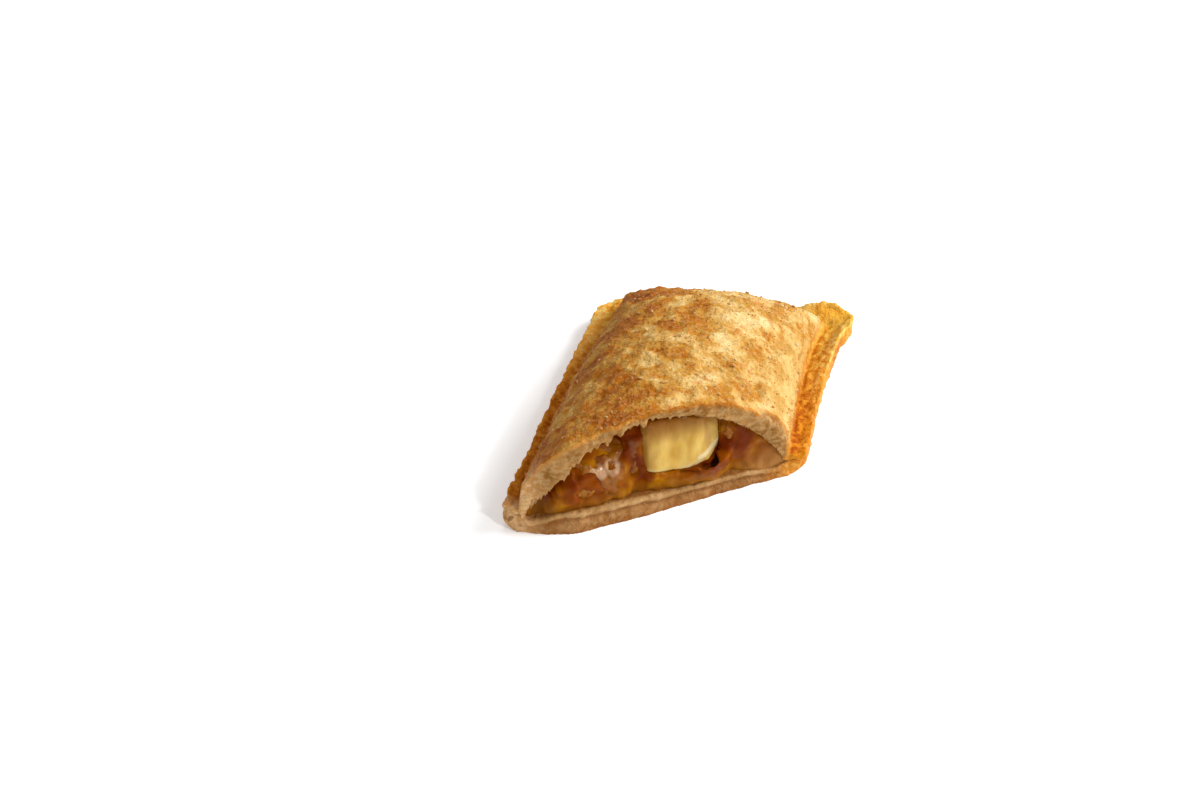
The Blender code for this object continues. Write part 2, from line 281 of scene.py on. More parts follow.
def draw_corner(piece):
    """Draws the right-hand closed corner of the rim out to the point that the crimping tool left."""
    for point in piece.data.vertices:
        near = 1.0 - ramp((point.co - CORNER).length, 0.0, CORNER_REACH)
        point.co += CORNER_PULL * near * ramp(rim_place(point.co), -0.1, 0.5)


top_crust = copy_of("top_crust", "top_pastry")
fatten(top_crust, SEAM_CLOSER)
remesh(top_crust, CRUST_GRAIN)
for zone, rule in (
    ("cut", faces_cut),
    ("rim", on_rim),
    ("dome", on_dome),
    ("groove", in_groove),
    ("lip", on_lip),
    ("wall", on_wall),
    ("orange", right_end_of_rim),
    ("shoulder", on_shoulder),
    ("tip", at_tip),
    ("corner", at_corner),
):
    mark(top_crust, zone, rule)
push_zone(top_crust, "shoulder", OUT_OF_SHOULDER, 0.9 * MM)
push_zone(top_crust, "groove", UPWARD, -0.5 * MM)
push_zone(top_crust, "lip", UPWARD, 0.35 * MM)
draw_corner(top_crust)
for zone, size, height in (
    ("dome", 5.5, 1.2),
    ("dome", 3.2, 0.8),
    ("dome", 1.8, 0.5),
    ("dome", 0.9, 0.28),
    ("rim", 2.6, 0.8),
    ("rim", 1.1, 0.7),
    ("cut", 1.7, 0.6),
    ("cut", 0.8, 0.4),
):
    roughen(top_crust, zone, size * MM, height * MM)
print("top crust faces:", len(top_crust.data.polygons))

# %% [markdown]
# ## The torn lip
#
# The knife dragged the top crust on the left of the cut, so its lower edge hangs in small teeth. A
# modifier can't find that edge, but code can: the lowest cut points in each short stretch are the lip,
# and the points round it are pulled down by a saw-toothed noise.

# %% Teeth along the lip
LIP_STEP = 0.8 * MM
TOOTH_REACH = 1.5 * MM
TOOTH_DEPTH = 1.8 * MM
TOOTH_PITCH = 1.4 * MM
LIFT_AT_CROWN = 0.7 * MM
LIFT_AT_RIGHT = 0.5 * MM
LIFT_AT_LEFT = 1.7 * MM
LIFT_REACH = 3.6 * MM
LIFT_DEPTH = 5.0 * MM
CROWN_AT = 26.0 * MM
TIP_FILL = 2.6 * MM  # how far the dough hangs down at the left-hand tip
RIGHT_FILL = 0.9 * MM  # and at the right-hand end, where it closes on the bottom crust
CLEAN_TOOTH = 0.3 * MM  # how far the teeth hang where the knife cut cleanly
TORN_TOOTH = 2.8 * MM  # and how much further where it tore the dough


def edge_heights(piece, pick):
    """The lowest or the highest cut point in each stretch of the cut, as pick says."""
    edge = {}
    shares = piece.data.attributes["cut_share"].data
    for point in piece.data.vertices:
        if shares[point.index].value < 0.5 or rim_place(point.co) > -0.05:
            continue
        distance, _ = cut_place(point.co)
        step = round(distance / LIP_STEP)
        edge[step] = pick(edge.get(step, point.co.z), point.co.z)
    return edge


def tooth(distance):
    """How far the lip hangs at that distance along the cut."""
    at = Vector((distance, 0.0, 0.0))
    saw = max(0.0, lump(at, TOOTH_PITCH, 3.1)) + 0.6 * max(0.0, lump(at, 0.5 * TOOTH_PITCH, 8.2))
    torn = ramp(distance, 24.0 * MM, 34.0 * MM) * (1.0 - ramp(distance, 58.0 * MM, 64.0 * MM))
    return (CLEAN_TOOTH + TORN_TOOTH * torn) * saw


def lift(distance):
    """How far the lip is drawn up: the crust is thin along most of the cut, and thick at its left tip."""
    at_side = LIFT_AT_LEFT if distance > CROWN_AT else LIFT_AT_RIGHT
    to_side = ramp(abs(distance - CROWN_AT), 4.0 * MM, 18.0 * MM)
    inside_ends = ramp(distance, 3.0 * MM, 9.0 * MM) * (1.0 - ramp(distance, 47.0 * MM, 54.0 * MM))
    drawn_up = LIFT_AT_CROWN + (at_side - LIFT_AT_CROWN) * to_side
    drawn_down = TIP_FILL * ramp(distance, 51.0 * MM, 57.0 * MM)
    drawn_down += RIGHT_FILL * (1.0 - ramp(distance, 2.0 * MM, 7.0 * MM))
    return inside_ends * drawn_up - drawn_down


def tear_lip(piece):
    lowest = edge_heights(piece, min)
    for point in piece.data.vertices:
        distance, depth = cut_place(point.co)
        lip = lowest.get(round(distance / LIP_STEP), -1.0)
        if lip < 0.0 or depth > LIFT_DEPTH or rim_place(point.co) > 0.0:
            continue
        above = point.co.z - lip
        drawn = (1.0 - ramp(above, 0.0, LIFT_REACH)) * (1.0 - ramp(depth, 1.0 * MM, LIFT_DEPTH))
        drawn *= 1.0 - ramp(rim_place(point.co), -0.35, 0.0)
        torn = (1.0 - ramp(above, 0.0, TOOTH_REACH)) * (1.0 - ramp(depth, 0.6 * MM, TOOTH_DEPTH))
        point.co.z += drawn * lift(distance) - torn * tooth(distance)


tear_lip(top_crust)


def tree_at(places):
    """A tree that finds the nearest of some places."""
    tree = KDTree(len(places))
    for index, place in enumerate(places):
        tree.insert(place, index)
    tree.balance()
    return tree


def mark_skin(piece, near, far):
    """Marks the part of the cut that is close to the baked outside."""
    cut = piece.data.attributes["cut_share"].data
    dome = piece.data.attributes["dome_share"].data
    tree = tree_at([point.co for point in piece.data.vertices if dome[point.index].value > 0.5])
    shares = [0.0] * len(piece.data.vertices)
    for point in piece.data.vertices:
        if cut[point.index].value > 0.05:
            shares[point.index] = 1.0 - ramp(tree.find(point.co)[2], near, far)
    piece.data.attributes.new("skin_share", "FLOAT", "POINT")
    piece.data.attributes["skin_share"].data.foreach_set("value", shares)


mark_skin(top_crust, 0.5 * MM, 1.1 * MM)
longest = max(tooth(step * LIP_STEP) for step in edge_heights(top_crust, min))
print("the longest tooth hangs", round(longest / MM, 1), "mm")

# %% [markdown]
# ## The bottom crust
#
# The base is a flat sheet, soaked from above and browned from below. It gets the same treatment, with a
# zone for the moist upper face, and it stays flat where it lies on the table.

# %% Bottom crust, shaped
BASE_GRAIN = 0.38 * MM
SEAM_FILL = 1.8 * MM  # how far the bottom sheet's rim reaches up into the top sheet, baked to it


def soaked(place, normal):
    return ramp(normal.z, 0.2, 0.6) * (1.0 - ramp(rim_place(place), -0.2, 0.0))


def in_seam(place, normal):
    """Most at the cut's left end, where the two sheets were pressed into one."""
    distance, depth = cut_place(place)
    near_cut = 1.0 - 0.3 * ramp(depth, 3.0 * MM, 7.0 * MM)
    by_end = 0.5 + 0.5 * ramp(distance, 57.0 * MM, 62.0 * MM)
    return by_end * near_cut * ramp(normal.z, 0.0, 0.4) * ramp(rim_place(place), -0.7, -0.1)


def below_edge(place):
    """How far a point of the cut lies below the base's upper edge, and how close it is to the cut."""
    distance, depth = cut_place(place)
    top = base_top.get(round(distance / LIP_STEP), 0.0)
    return top - place.z, 1.0 - ramp(depth, 0.6 * MM, 1.1 * MM)


def on_ridge(place, normal):
    """The upper edge of the base at the cut, painted as a pale ridge."""
    below, near_cut = below_edge(place)
    return near_cut * (1.0 - ramp(below, 0.5 * MM, 0.9 * MM)) * (1.0 - ramp(rim_place(place), -0.6, -0.2))


def under_ridge(place, normal):
    """The brown line between that ridge and the rest of the base."""
    below, near_cut = below_edge(place)
    band = ramp(below, 0.6 * MM, 1.0 * MM) * (1.0 - ramp(below, 1.2 * MM, 1.7 * MM))
    return near_cut * band * (1.0 - ramp(rim_place(place), -0.6, -0.2))


def off_table(place, normal):
    return ramp(place.z, 0.3 * MM, 1.0 * MM)


bottom_crust = copy_of("bottom_crust", "bottom_pastry")
fatten(bottom_crust, SEAM_CLOSER)
remesh(bottom_crust, BASE_GRAIN)
mark(bottom_crust, "cut", faces_cut)
base_top = edge_heights(bottom_crust, max)
for zone, rule in (
    ("soaked", soaked),
    ("ridge", on_ridge),
    ("line", under_ridge),
    ("orange", near_right_end),
    ("browned", browned_rim),
    ("tip", at_tip),
    ("corner", at_corner),
    ("free", off_table),
):
    mark(bottom_crust, zone, rule)
push_zone(bottom_crust, "ridge", UPWARD - INTO_PIE, 0.2 * MM)
push_zone(bottom_crust, "line", INTO_PIE, 0.35 * MM)
for zone, size, height in (("free", 2.2, 0.4), ("free", 0.9, 0.3), ("browned", 1.5, 0.6)):
    roughen(bottom_crust, zone, size * MM, height * MM)
mark(bottom_crust, "seam", in_seam)
push_zone(bottom_crust, "seam", UPWARD, SEAM_FILL)
draw_corner(bottom_crust)
for point in bottom_crust.data.vertices:
    point.co.z = max(0.0, point.co.z)
print("bottom crust faces:", len(bottom_crust.data.polygons))

# %% [markdown]
# ## The apple chunks
#
# Diced apple keeps flat faces and soft edges when it is cooked. Each chunk lost a corner or two to the
# knife, which Bisect does on the coarse copy. Remesh and Smooth then round all the edges alike. A second,
# slightly larger copy of each sliced shape is kept, pushed back into the pie: it is the bed that the gel
# closes round.

# %% Chunks, shaped
CHUNK_GRAIN = 0.3 * MM
CHUNK_SWELL = 0.25 * MM
BED_SWELL = 0.75 * MM
BARE_BED = 2.3 * MM
GLAZED_BED = 1.3 * MM
UNDERCUT_AT = 22.5  # how far along the cut a point of the undercut's plane lies, in millimetres
UNDERCUT_HEIGHT = 8.0  # and how high it is there, in millimetres
UNDERCUT_SLOPE = 0.35  # how steeply the undercut rises towards the right


def cut_point(distance, depth, height):
    """A point of the frame from its place at the cut, in millimetres."""
    return CUT_RIGHT + (ALONG_CUT * distance + INTO_PIE * depth + UPWARD * height) * MM


def slice_corner(piece, place, normal):
    """Cuts off what lies beyond a plane, and closes the face."""
    select_only(piece)
    bpy.ops.object.mode_set(mode="EDIT")
    bpy.ops.mesh.select_all(action="SELECT")
    bpy.ops.mesh.bisect(plane_co=place, plane_no=normal, use_fill=True, clear_outer=True)
    bpy.ops.object.mode_set(mode="OBJECT")


def soften(piece, rounds):
    select_only(piece)
    smooth = piece.modifiers.new("soften", "SMOOTH")
    smooth.iterations = rounds
    bpy.ops.object.modifier_apply(modifier=smooth.name)


def everywhere(place, normal):
    return 1.0


def sliced_chunk(node, name, slices):
    piece = copy_of(node, name)
    for place, (right, out, up) in slices:
        normal = -ALONG_CUT * right - INTO_PIE * out + UPWARD * up
        slice_corner(piece, place, normal.normalized())
    return piece


def cooked_chunk(node, name, slices, undercut, lumps, cooked, bed_depth):
    """The chunk, softened by how long it was cooked, and its bed in the gel, which has no undercut."""
    bed = sliced_chunk(node, name + "_bed", slices)
    fatten(bed, BED_SWELL)
    bpy.ops.object.mode_set(mode="EDIT")
    bpy.ops.transform.translate(value=INTO_PIE * bed_depth)
    bpy.ops.object.mode_set(mode="OBJECT")
    piece = sliced_chunk(node, name, slices + undercut)
    fatten(piece, CHUNK_SWELL)
    remesh(piece, CHUNK_GRAIN)
    soften(piece, cooked)
    mark(piece, "flesh", everywhere)
    for size, height in lumps:
        roughen(piece, "flesh", size * MM, height * MM)
    print(name, "faces:", len(piece.data.polygons))
    return piece, bed


main_chunk, main_bed = cooked_chunk(
    "apple_chunk_main",
    "apple_dice_large",
    slices=((cut_point(23.0, 0.6, 14.0), (0.566, 0.825, 0.08)),),
    undercut=((cut_point(UNDERCUT_AT, 1.0, UNDERCUT_HEIGHT), (0.33, 0.0, -0.94)),),
    lumps=((3.5, 0.7), (1.2, 0.15)),
    cooked=10,
    bed_depth=BARE_BED,
)
left_chunk, left_bed = cooked_chunk(
    "apple_chunk_left",
    "apple_dice_glazed",
    slices=(
        (cut_point(44.0, 1.2, 11.4), (0.0, 0.757, 0.653)),
        (cut_point(49.0, 2.0, 11.0), (-0.7, 0.6, 0.2)),
    ),
    undercut=(),
    lumps=((3.4, 2.0), (1.5, 0.9)),
    cooked=24,
    bed_depth=GLAZED_BED,
)
middle_chunk, middle_bed = cooked_chunk(
    "apple_chunk_middle",
    "apple_sliver",
    slices=((cut_point(37.4, 2.6, 16.6), (-0.2, 0.8, 0.6)),),
    undercut=(),
    lumps=((2.6, 1.3), (1.2, 0.5)),
    cooked=16,
    bed_depth=GLAZED_BED,
)


# the facet's edge, where a highlight is painted as a pale line
HIGHLIGHT_STREAK = [cut_point(23.3, 0.4, 9.8), cut_point(18.7, 3.1, 11.2)]
FRINGE = [cut_point(36.0, 0.5, 9.3), cut_point(28.2, 0.5, 7.4), cut_point(23.4, 0.5, 8.6)]
GLEAMS = (cut_point(44.6, 1.2, 11.7), cut_point(41.7, 1.2, 12.5))


def right_facet(place, normal):
    return ramp(-normal.dot(ALONG_CUT), 0.3, 0.55)


def stained_and_shaded(place, normal):
    """The left side and the top, stained by soaked-in gel, with painted shade under the lip at the top."""
    distance, _ = cut_place(place)
    return max(ramp(distance, 31.5 * MM, 36.0 * MM), ramp(place.z, 14.5 * MM, 19.0 * MM))


def highlight_and_pale_edge(place, normal):
    """A painted highlight as a crisp pale line along the facet, and a paler lower edge."""
    highlight_streak = 1.0 - ramp(far_from_line(place, HIGHLIGHT_STREAK), 0.4 * MM, 0.8 * MM)
    fringe = 1.0 - ramp(far_from_line(place, FRINGE), 0.3 * MM, 1.6 * MM)
    return max(highlight_streak, 0.55 * fringe)


def painted_gleams(place, normal):
    """Two uneven patches of painted highlight on the glazed chunk's wet surface."""
    nearest = min((place - gleam).length for gleam in GLEAMS) + 0.6 * MM * lump(place, 1.3 * MM, 4.0)
    return 1.0 - ramp(nearest, 1.3 * MM, 2.2 * MM)


mark(main_chunk, "facet", right_facet)
mark(main_chunk, "gel_stain_and_shade", stained_and_shaded)
mark(main_chunk, "pale", highlight_and_pale_edge)
mark(left_chunk, "gleam", painted_gleams)

# %% [markdown]
# ## The filling
#
# Cooked apple gel is lumpy, wet and amber. It clings to the chunks and to the pastry, so the copy of the
# solid is joined with the chunks' beds and remeshed as one, which closes every gap. Only its front shows,
# so the lumps are raised there, and the sides stay where the pastry holds them.

# %% Filling, shaped
GEL_GRAIN = 0.4 * MM
GEL_SWELL = 0.36 * MM


def gel_front(place, normal):
    _, depth = cut_place(place)
    return (1.0 - ramp(depth, 5.0 * MM, 8.0 * MM)) * ramp(-normal.dot(INTO_PIE), 0.0, 0.5)


def gel_foot(place, normal):
    """The bottom of the front, which has crept out over the bottom crust."""
    _, depth = cut_place(place)
    return (1.0 - ramp(place.z, 4.0 * MM, 8.0 * MM)) * (1.0 - ramp(depth, 2.5 * MM, 6.0 * MM))


def smear(place, normal):
    """The right-hand end of the foot, smeared over the base by the knife."""
    distance, _ = cut_place(place)
    return gel_foot(place, normal) * (1.0 - ramp(distance, 9.0 * MM, 15.0 * MM))


def under_chunk(place, normal):
    """The gel that fills the hollow below the big chunk's right-hand corner."""
    distance, depth = cut_place(place)
    drop = UNDERCUT_HEIGHT * MM + UNDERCUT_SLOPE * (UNDERCUT_AT * MM - distance) - place.z
    below = ramp(drop, -1.0 * MM, 0.4 * MM) * (1.0 - ramp(drop, 3.0 * MM, 4.5 * MM))
    beside = ramp(distance, 15.0 * MM, 18.0 * MM) * (1.0 - ramp(distance, 27.0 * MM, 31.0 * MM))
    return below * beside * (1.0 - ramp(depth, 5.0 * MM, 7.0 * MM))


def under_lip(place, normal):
    """The top of the front on the left, sunk back into a hollow under the torn lip, darkened as painted
    shade.
    """
    distance, depth = cut_place(place)
    lip = lip_at.get(round(distance / LIP_STEP), -1.0)
    if lip < 0.0:
        return 0.0
    on_left = ramp(distance, 30.0 * MM, 38.0 * MM) * (1.0 - ramp(distance, 56.0 * MM, 59.0 * MM))
    return on_left * ramp(place.z, lip - 4.0 * MM, lip - 1.5 * MM) * (1.0 - ramp(depth, 6.0 * MM, 9.0 * MM))


def brow(place, normal):
    """The top of the front on the right, which clings to the crust."""
    distance, _ = cut_place(place)
    lip = lip_at.get(round(distance / LIP_STEP), -1.0)
    if lip < 0.0:
        return 0.0
    return (1.0 - ramp(distance, 28.0 * MM, 34.0 * MM)) * ramp(place.z, lip - 5.0 * MM, lip - 2.0 * MM)


glazed_tree = tree_at([point.co for chunk in (left_chunk, middle_chunk) for point in chunk.data.vertices])
bare_tree = tree_at([point.co for point in main_chunk.data.vertices])


def meniscus(place, normal):
    """The gel that climbs the sides of the chunks, and over the front of the two glazed ones."""
    _, depth = cut_place(place)
    glaze = 0.6 * (1.0 - ramp(glazed_tree.find(place)[2], 0.3 * MM, 1.9 * MM))
    _, nearest, gap = bare_tree.find(place)
    in_front = ramp(-main_chunk.data.vertices[nearest].normal.dot(INTO_PIE), 0.55, 0.85)
    side = (1.0 - in_front) * (1.0 - ramp(gap, 0.4 * MM, 2.4 * MM))
    return (1.0 - ramp(depth, 4.0 * MM, 7.0 * MM)) * max(glaze, side)


def behind_bare(place, normal):
    """The gel just behind the bare chunk's front, which mustn't come through it."""
    _, nearest, gap = bare_tree.find(place)
    in_front = ramp(-main_chunk.data.vertices[nearest].normal.dot(INTO_PIE), 0.4, 0.8)
    return in_front * (1.0 - ramp(gap, 1.5 * MM, 3.0 * MM)) * (1.0 - under_chunk(place, normal))


filling = copy_of("filling", "apple_gel")
fatten(filling, GEL_SWELL)
for bed in (main_bed, left_bed, middle_bed):
    bed.select_set(True)
bpy.ops.object.join()
remesh(filling, GEL_GRAIN)
lip_at = edge_heights(top_crust, min)
for zone, rule in (
    ("front", gel_front),
    ("foot", gel_foot),
    ("smear", smear),
    ("hollow", under_lip),
    ("brow", brow),
    ("meniscus", meniscus),
):
    mark(filling, zone, rule)
push_zone(filling, "foot", INTO_PIE, 0.4 * MM)
push_zone(filling, "foot", UPWARD, -0.7 * MM)
push_zone(filling, "smear", -INTO_PIE - 0.4 * UPWARD, 1.8 * MM)
push_zone(filling, "hollow", INTO_PIE, 2.2 * MM)
push_zone(filling, "brow", UPWARD, 0.9 * MM)
mark(filling, "behind", behind_bare)
push_zone(filling, "meniscus", -INTO_PIE, 1.2 * MM)
for size, height in ((4.5, 1.9), (2.0, 0.9)):
    roughen(filling, "front", size * MM, height * MM)
push_zone(filling, "behind", INTO_PIE, 1.5 * MM)
mark(filling, "under_chunk", under_chunk)
push_zone(filling, "under_chunk", -INTO_PIE, 1.0 * MM)
soften(filling, 4)
print("filling faces:", len(filling.data.polygons))

# %% [markdown]
# ## A bit of pulp
#
# A soft pale bit of apple sits in the gel to the right of the big chunk. It is a ball drawn out upwards
# in Edit Mode and made uneven with the same Displace modifier as the rest.

# %% Pulp, shaped
def pulp_bit(name, place, width, height):
    bpy.ops.object.select_all(action="DESELECT")
    bpy.ops.mesh.primitive_ico_sphere_add(subdivisions=5, radius=0.5)
    bit = bpy.context.object
    bit.name = name
    bpy.ops.object.mode_set(mode="EDIT")
    bpy.ops.mesh.select_all(action="SELECT")
    bpy.ops.transform.resize(value=(width, width, height))
    bpy.ops.transform.translate(value=place)
    bpy.ops.object.mode_set(mode="OBJECT")
    bpy.ops.object.shade_smooth()
    mark(bit, "flesh", everywhere)
    roughen(bit, "flesh", 0.5 * width, 0.3 * width)
    return bit


pale_bit = pulp_bit("apple_pulp", cut_point(15.9, 3.1, 12.6), 2.0 * MM, 4.6 * MM)
print("pulp faces:", len(pale_bit.data.polygons))

# %% [markdown]
# ## Mixing colours with nodes
#
# Every finish is procedural: noise of several sizes in Object coordinates, shaped by ramps and mixed into
# the colours of the real food. A few helpers keep each material short enough to read as a recipe.

# %% Node helpers
LIGHT_GAIN = 1.25  # how much brighter a lit surface comes out than its own colour
DRY_GLOSS = 0.012  # white that a dry surface's gloss adds to it
WET_GLOSS = 0.022  # and a wet one's


def tone(red, green, blue, gloss=DRY_GLOSS):
    """The linear colour that the shader needs to look like this on screen, from 0 to 255."""
    linear = []
    for value in (red, green, blue):
        share = value / 255.0
        light = share / 12.92 if share <= 0.04045 else ((share + 0.055) / 1.055) ** 2.4
        linear.append(max(0.0, light / LIGHT_GAIN - gloss))
    return (*linear, 1.0)


def wet_tone(red, green, blue):
    return tone(red, green, blue, WET_GLOSS)


def new_finish(name, **sockets):
    """A material, with constant values set on its shader's own sockets."""
    finish = bpy.data.materials.new(name)
    finish.use_nodes = True
    shader = finish.node_tree.nodes["Principled BSDF"]
    for socket, value in sockets.items():
        shader.inputs[socket.replace("_", " ")].default_value = value
    return finish


def feed(finish, socket, source):
    if isinstance(source, bpy.types.NodeSocket):
        finish.node_tree.links.new(source, socket)
    else:
        socket.default_value = source


def grain(finish, size, detail=3.0, stretch=(1.0, 1.0, 1.0), shift=0.0):
    """Noise whose lumps are about that size in metres."""
    nodes = finish.node_tree.nodes
    place = nodes.new("ShaderNodeTexCoord")
    mapping = nodes.new("ShaderNodeMapping")
    mapping.inputs["Location"].default_value = (shift, shift, -shift)
    mapping.inputs["Scale"].default_value = stretch
    pattern = nodes.new("ShaderNodeTexNoise")
    pattern.inputs["Scale"].default_value = 0.5 / size
    pattern.inputs["Detail"].default_value = detail
    feed(finish, mapping.inputs["Vector"], place.outputs["Object"])
    feed(finish, pattern.inputs["Vector"], mapping.outputs["Vector"])
    return pattern.outputs["Fac"]


def spread(finish, value, low, high, to_low=0.0, to_high=1.0):
    """Stretches a part of a value's range smoothly over another range."""
    change = finish.node_tree.nodes.new("ShaderNodeMapRange")
    change.interpolation_type = "SMOOTHSTEP"
    feed(finish, change.inputs["Value"], value)
    change.inputs["From Min"].default_value = low
    change.inputs["From Max"].default_value = high
    change.inputs["To Min"].default_value = to_low
    change.inputs["To Max"].default_value = to_high
    return change.outputs["Result"]


def times(finish, a, b):
    product = finish.node_tree.nodes.new("ShaderNodeMath")
    product.operation = "MULTIPLY"
    feed(finish, product.inputs[0], a)
    feed(finish, product.inputs[1], b)
    return product.outputs[0]


def plus(finish, a, b):
    total = finish.node_tree.nodes.new("ShaderNodeMath")
    total.operation = "ADD"
    feed(finish, total.inputs[0], a)
    feed(finish, total.inputs[1], b)
    return total.outputs[0]


def mixed(finish, share, a, b):
    both = finish.node_tree.nodes.new("ShaderNodeMix")
    both.data_type = "RGBA"
    feed(finish, both.inputs["Factor"], share)
    feed(finish, both.inputs[6], a)
    feed(finish, both.inputs[7], b)
    return both.outputs[2]


def over(finish, under, share, strength, top):
    """Lays a colour over another where a share says, at a strength from 0 to 1."""
    return mixed(finish, times(finish, share, strength), under, top)


def scale_of(finish, value, *stops):
    """Colours along a scale, each given as its place from 0 to 1 and its tone."""
    ramp_node = finish.node_tree.nodes.new("ShaderNodeValToRGB")
    marks = ramp_node.color_ramp.elements
    while len(marks) < len(stops):
        marks.new(0.5)
    for element, (position, colour) in zip(marks, stops):
        element.position = position
        element.color = colour
    feed(finish, ramp_node.inputs["Fac"], value)
    return ramp_node.outputs["Color"]


def zone_share(finish, name):
    reader = finish.node_tree.nodes.new("ShaderNodeAttribute")
    reader.attribute_name = name + "_share"
    return reader.outputs["Fac"]


def over_zone(finish, under, zone, strength, top):
    """Lays a colour over another in a marked zone."""
    return over(finish, under, zone_share(finish, zone), strength, top)


def place_along(finish, axis):
    """Object coordinate along X, Y or Z."""
    nodes = finish.node_tree.nodes
    place = nodes.new("ShaderNodeTexCoord")
    split = nodes.new("ShaderNodeSeparateXYZ")
    feed(finish, split.inputs[0], place.outputs["Object"])
    return split.outputs[axis]


def paint(finish, colour=None, roughness=None, height=None, depth=0.1 * MM):
    """Plugs the finished recipe into the shader, with a bump of that depth."""
    nodes = finish.node_tree.nodes
    shader = nodes["Principled BSDF"]
    if colour is not None:
        feed(finish, shader.inputs["Base Color"], colour)
    if roughness is not None:
        feed(finish, shader.inputs["Roughness"], roughness)
    if height is not None:
        bump = nodes.new("ShaderNodeBump")
        bump.inputs["Distance"].default_value = depth
        feed(finish, bump.inputs["Height"], height)
        feed(finish, shader.inputs["Normal"], bump.outputs["Normal"])


def give(piece, finish):
    piece.data.materials.clear()
    piece.data.materials.append(finish)


print("screen white is", round(tone(255, 255, 255)[0], 3), "in the shader")

# %% [markdown]
# ## Baked pastry
#
# The top is golden tan with browner clouds, paler on the steep side and near the cut, and grainy with
# sugar and cinnamon. It is darker towards the left, partly browner bake and partly painted shade where
# the other half leaned on it. The rim is orange, with painted shade in the groove at the foot of the
# dome. The cut shows the pale inside of the dough, with a thin brown skin along its outer edge; its left
# tip is painted paler still, as painted light.

# %% Top crust, painted
top_finish = new_finish(
    "baked_pastry", Roughness=0.7, Specular_IOR_Level=0.12, Subsurface_Weight=0.1, Subsurface_Scale=0.5 * MM
)
clouds = spread(top_finish, grain(top_finish, 6.0 * MM, detail=2.0), 0.4, 0.6)
patches = spread(top_finish, grain(top_finish, 2.4 * MM, detail=3.0, shift=3.0), 0.4, 0.6)
spots = spread(top_finish, grain(top_finish, 1.0 * MM, detail=2.0, shift=8.0), 0.42, 0.6)
specks = spread(top_finish, grain(top_finish, 0.5 * MM, detail=2.0, shift=5.0), 0.44, 0.6)
fine_specks = spread(top_finish, grain(top_finish, 0.28 * MM, detail=1.0, shift=9.0), 0.46, 0.62)
blisters = spread(top_finish, grain(top_finish, 1.5 * MM, detail=1.0, shift=7.0), 0.63, 0.7)
# paler towards the right: partly a browner bake on the left, partly painted shade where the other half lay
# against the dome
bake_and_painted_shade_to_right = spread(top_finish, place_along(top_finish, "X"), -24.0 * MM, 22.0 * MM)
bake = plus(top_finish, times(top_finish, clouds, 0.3), times(top_finish, patches, 0.26))
bake = plus(top_finish, bake, times(top_finish, spots, 0.14))
bake = plus(top_finish, bake, times(top_finish, bake_and_painted_shade_to_right, 0.42))
top_colour = scale_of(
    top_finish,
    bake,
    (0.08, tone(160, 82, 0)),
    (0.34, tone(184, 110, 14)),
    (0.58, tone(202, 146, 62)),
    (0.78, tone(228, 186, 112)),
    (1.0, tone(242, 212, 150)),
)
top_colour = over(top_finish, top_colour, blisters, 0.6, tone(196, 112, 28))
pale_specks = times(top_finish, specks, plus(top_finish, times(top_finish, bake_and_painted_shade_to_right, 0.14), 0.08))
top_colour = mixed(top_finish, pale_specks, top_colour, tone(244, 212, 150))
top_colour = over(top_finish, top_colour, fine_specks, 0.2, tone(186, 122, 50))
wall_colour = mixed(top_finish, patches, tone(206, 160, 84), tone(224, 186, 114))
top_colour = over_zone(top_finish, top_colour, "wall", 0.8, wall_colour)
rim_specks = spread(top_finish, grain(top_finish, 0.8 * MM, detail=3.0, shift=2.0), 0.4, 0.62)
near_rim = mixed(top_finish, rim_specks, tone(184, 96, 6), tone(226, 142, 40))
far_rim = mixed(top_finish, rim_specks, tone(232, 154, 48), tone(252, 196, 86))
to_back = spread(top_finish, place_along(top_finish, "Y"), 0.0, 34.0 * MM)
rim_colour = mixed(top_finish, to_back, near_rim, far_rim)
near_lip = mixed(top_finish, rim_specks, tone(212, 126, 28), tone(236, 160, 58))
far_lip = mixed(top_finish, rim_specks, tone(250, 180, 76), tone(255, 214, 122))
lip_colour = mixed(top_finish, to_back, near_lip, far_lip)
rim_colour = mixed(top_finish, zone_share(top_finish, "lip"), rim_colour, lip_colour)
# painted shade: the rim is darkened in the groove at the foot of the dome
rim_colour = over_zone(top_finish, rim_colour, "groove", 0.2, tone(198, 116, 34))
corner_colour = mixed(top_finish, patches, tone(252, 184, 62), tone(255, 202, 90))
rim_colour = over_zone(top_finish, rim_colour, "corner", 0.85, corner_colour)
top_colour = mixed(top_finish, zone_share(top_finish, "rim"), top_colour, rim_colour)
dough = mixed(top_finish, patches, tone(152, 104, 50), tone(182, 134, 78))
crumb = grain(top_finish, 0.55 * MM, detail=3.0, stretch=(0.8, 0.8, 1.2), shift=6.0)
flakes = spread(top_finish, crumb, 0.42, 0.62)
dough = over(top_finish, dough, flakes, 0.35, tone(224, 184, 128))
skin_colour = mixed(top_finish, patches, tone(186, 112, 34), tone(214, 146, 64))
dough = over_zone(top_finish, dough, "skin", 0.85, skin_colour)
rim_dough = mixed(top_finish, patches, tone(224, 142, 36), tone(240, 166, 62))
dough = mixed(top_finish, zone_share(top_finish, "orange"), dough, rim_dough)
cut_share = zone_share(top_finish, "cut")
top_colour = mixed(top_finish, spread(top_finish, cut_share, 0.3, 0.7), top_colour, dough)
# the left tip: pale dough, painted paler still as painted light to lift the shade there
pale_tip_and_painted_light = mixed(top_finish, flakes, tone(222, 168, 108), tone(240, 198, 144))
top_colour = over_zone(top_finish, top_colour, "tip", 0.85, pale_tip_and_painted_light)
grains = plus(top_finish, specks, times(top_finish, fine_specks, -0.5))
paint(top_finish, colour=top_colour, height=grains, depth=0.11 * MM)
give(top_crust, top_finish)
print("top finish has", len(top_finish.node_tree.nodes), "nodes")
